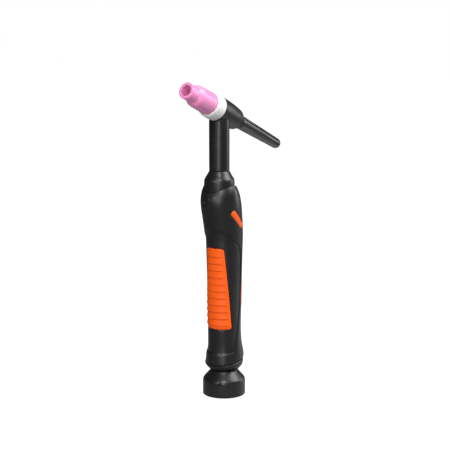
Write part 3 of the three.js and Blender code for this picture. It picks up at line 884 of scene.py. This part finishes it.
for number, place in enumerate(screws):
    line = {"centre": screwCentre(place) + across * (face * mm), "along": across, "side": upward}
    threads = []
    for turn in range(16):
        start = 4 + turn * 0.8
        threads += [(screwHead["shank"], start), (screwHead["shank"] - 0.25, start + 0.4)]
    screw = turnPiece(f"handleScrew{number + 1}", line, [
        (0, 0), (2.3, 0, 0.2), (screwHead["radius"], 0.35, 0.2), (screwHead["radius"], 1.2, 0.15),
        (screwHead["shank"], 3.1, 0.1), *threads, (screwHead["shank"], 17), (0.5, 18.2),
        (0, screwHead["length"]),
    ], 36)
    cut(screw, crossBar(screwHead["socket"], -1, 1.4, line["centre"], across, 6))
    shadeSmooth(35)
    finishPiece(screw, f"handle_screw_{number + 1}", "torch_body", materials["zincSteel"])


# the rounded ring under the handle's lower rim
endRing = turnPiece("endRing", outletLine, roundAbout(seatRadius, -39, -8, 8) + [
    (12.2, -1.5, 0.2), (15.1, -1.5), (15.1, -6.4), (15.05, -7.1), (14.9, -7.8), (14.55, -8.8),
    (14.0, -9.8), (13.25, -10.8), (12.35, -11.7), (11.5, -12.4), (10.9, -12.9), (10.6, -13.0, 0.1),
    (10.0, -13, 0.1),
], 144, 50)
rimTilt = math.atan(float(slant(handle["rim"])))
rimHeight = handle["rim"] - handle["gap"] - math.tan(rimTilt) * float(spineY(handle["rim"]))
tilted = Vector((0, -math.sin(rimTilt), math.cos(rimTilt)))
rimLine = {"centre": Vector((0, 0, rimHeight)) * mm, "along": tilted, "side": across}
shoulder = turnPiece("shoulder", rimLine, [
    (0, 0), (14.3, 0), (14.7, -0.1), (15.05, -0.35), (15.3, -0.8), (15.5, -1.5), (20, -1.5), (20, 20),
    (0, 20),
], 144)
cut(shoulder, crossBar(12.2, -20, 20, outletLine["centre"], upward, 144))
cut(endRing, shoulder)
shadeSmooth(40)
finishPiece(endRing, "handle_end_ring", "torch_body", materials["handlePlastic"])


# the rubber cover of head and neck, one moulding
coverSkin = {
    "voxel": 0.35, "neck": 7.85, "barrel": 9.9, "front": 4.8, "neckLow": 94.7,
    "spigot": 82.5, "spigotRadius": 6.2, "coreBore": 7.5, "capBore": 5.4, "neckCoreBore": 5.3, "tubeBore": 3.3,
}
barrel = turnPiece("headCover", headLine, [
    (0, coverSkin["front"]), (coverSkin["barrel"], coverSkin["front"]), (coverSkin["barrel"], -3), (9.75, -7),
    (9.5, -11), (9.2, -15), (8.85, -18.5), (8.6, -20.6), (8.35, -22.1), (7.9, -23.2), (7.2, -24.0),
    (6.6, -24.2), (6.6, -25.8), (0, -25.8),
], 128)
headZ = headLine["centre"].z / mm


def neckBar(radius, low, high, sides):
    return crossBar(radius, low, high, neckLine["centre"], upward, sides)


cut(barrel, neckBar(coverSkin["neck"], coverSkin["neckLow"], headZ, 128), "UNION")
remesh = barrel.modifiers.new("remesh", "REMESH")
remesh.mode = "VOXEL"
remesh.voxel_size = coverSkin["voxel"] * mm
soften = barrel.modifiers.new("soften", "SMOOTH")
soften.factor = 0.5
soften.iterations = 6
applyModifiers(barrel)
cut(barrel, neckBar(coverSkin["spigotRadius"], coverSkin["spigot"], headZ - 30, 64), "UNION")
cut(barrel, crossBar(coverSkin["coreBore"], -22.3, 8, headLine["centre"], headLine["along"], 96))
cut(barrel, crossBar(coverSkin["capBore"], -30, 0, headLine["centre"], headLine["along"], 64))
cut(barrel, neckBar(coverSkin["neckCoreBore"], headZ - 18.3, headZ, 64))
cut(barrel, neckBar(coverSkin["tubeBore"], headZ - 70, headZ - 12, 48))
shadeSmooth(40)
finishPiece(barrel, "head_cover", "torch_body", materials["headRubber"])


# the camera looks from the front right, a little from above
shot = {"turn": 34, "pitch": 9.55, "away": 0.913, "above": 0.0651, "right": 0.00435, "lens": 96}
back = outward(shot["turn"])
right = outward(shot["turn"] + 90)
bpy.ops.object.camera_add(
    location=neckLine["centre"] + back * shot["away"] + right * shot["right"]
    + upward * (headLine["centre"].z + shot["above"]),
    rotation=(math.radians(90 - shot["pitch"]), 0, math.radians(shot["turn"])),
)
camera = bpy.context.object
camera.data.lens = shot["lens"]
camera.data.clip_start = 0.05
camera.data.clip_end = 20
bpy.context.scene.camera = camera

lamps = [
    # turn round the torch and rise in degrees, distance and size in metres, power in watts
    {"name": "key", "turn": 122, "rise": 45, "away": 1.3, "size": (0.8, 0.8), "power": 18},
    {"name": "front", "turn": 28, "rise": 6, "away": 1.6, "size": (0.4, 0.8), "power": 9},
    {"name": "above", "turn": 34, "rise": 44, "away": 1.3, "size": (0.3, 0.3), "power": 8},
    {"name": "side", "turn": 148, "rise": 4, "away": 1.5, "size": (0.5, 1.0), "power": 6},
    {"name": "rear", "turn": 215, "rise": 45, "away": 1.5, "size": (0.9, 0.9), "power": 3},
    {"name": "bore", "turn": 2, "rise": 20, "away": 1.2, "size": (0.15, 0.15), "power": 3},
]
middle = Vector((0, 0, 0.04))
for lamp in lamps:
    level = outward(lamp["turn"]) * math.cos(math.radians(lamp["rise"]))
    place = level + upward * math.sin(math.radians(lamp["rise"]))
    bpy.ops.object.light_add(
        type="AREA", location=middle + place * lamp["away"],
        rotation=place.to_track_quat("Z", "Y").to_euler(),
    )
    light = bpy.context.object
    light.name = lamp["name"] + "Light"
    light.data.shape = "RECTANGLE"
    light.data.size, light.data.size_y = lamp["size"]
    light.data.energy = lamp["power"]

# a white room to the camera, a dim one to everything else
world = bpy.data.worlds.new("softRoom")
world.use_nodes = True
bpy.context.scene.world = world
room = world.node_tree
dim = room.nodes["Background"]
dim.inputs["Color"].default_value = (1, 1, 1, 1)
dim.inputs["Strength"].default_value = 0.08
bright = room.nodes.new("ShaderNodeBackground")
bright.inputs["Color"].default_value = (1, 1, 1, 1)
seen = room.nodes.new("ShaderNodeLightPath")
choice = room.nodes.new("ShaderNodeMixShader")
room.links.new(seen.outputs["Is Camera Ray"], choice.inputs["Fac"])
room.links.new(dim.outputs["Background"], choice.inputs[1])
room.links.new(bright.outputs["Background"], choice.inputs[2])
room.links.new(choice.outputs["Shader"], room.nodes["World Output"].inputs["Surface"])
bpy.context.scene.view_settings.view_transform = "Standard"

floorDrop = 3.5  # mm, so that the outlet can tilt over it
bpy.ops.mesh.primitive_circle_add(
    vertices=128, radius=6, fill_type="NGON", location=(0, 0, cadLow.z - floorDrop * mm),
)
floor = bpy.context.object
floor.name = "paleFloor"
floorMaterial = bpy.data.materials.new("paleFloor")
floorMaterial.use_nodes = True
floorShader = floorMaterial.node_tree.nodes["Principled BSDF"]
floorShader.inputs["Base Color"].default_value = (0.2, 0.2, 0.2, 1)
floorShader.inputs["Roughness"].default_value = 0.9
floorShader.inputs["Specular IOR Level"].default_value = 0
floorShader.inputs["Emission Color"].default_value = (1, 1, 1, 1)

# the camera sees the floor white; otherwise it only shines in a patch behind the torch
floorTree = floorMaterial.node_tree
patch = {"centre": (0.03, 0.17, floor.location.z), "near": 0.08, "far": 0.26, "level": 0.5}
away = floorTree.nodes.new("ShaderNodeVectorMath")
away.operation = "DISTANCE"
away.inputs[1].default_value = patch["centre"]
floorTree.links.new(floorTree.nodes.new("ShaderNodeNewGeometry").outputs["Position"], away.inputs[0])
fall = floorTree.nodes.new("ShaderNodeMapRange")
fall.inputs["From Min"].default_value = patch["near"]
fall.inputs["From Max"].default_value = patch["far"]
fall.inputs["To Min"].default_value = patch["level"]
fall.inputs["To Max"].default_value = 0
floorTree.links.new(away.outputs["Value"], fall.inputs["Value"])
shine = floorTree.nodes.new("ShaderNodeMix")
shine.inputs["B"].default_value = 1
rays = floorTree.nodes.new("ShaderNodeLightPath")
floorTree.links.new(rays.outputs["Is Camera Ray"], shine.inputs["Factor"])
floorTree.links.new(fall.outputs["Result"], shine.inputs["A"])
floorTree.links.new(shine.outputs["Result"], floorShader.inputs["Emission Strength"])
floor.data.materials.append(floorMaterial)

bpy.context.view_layer.update()
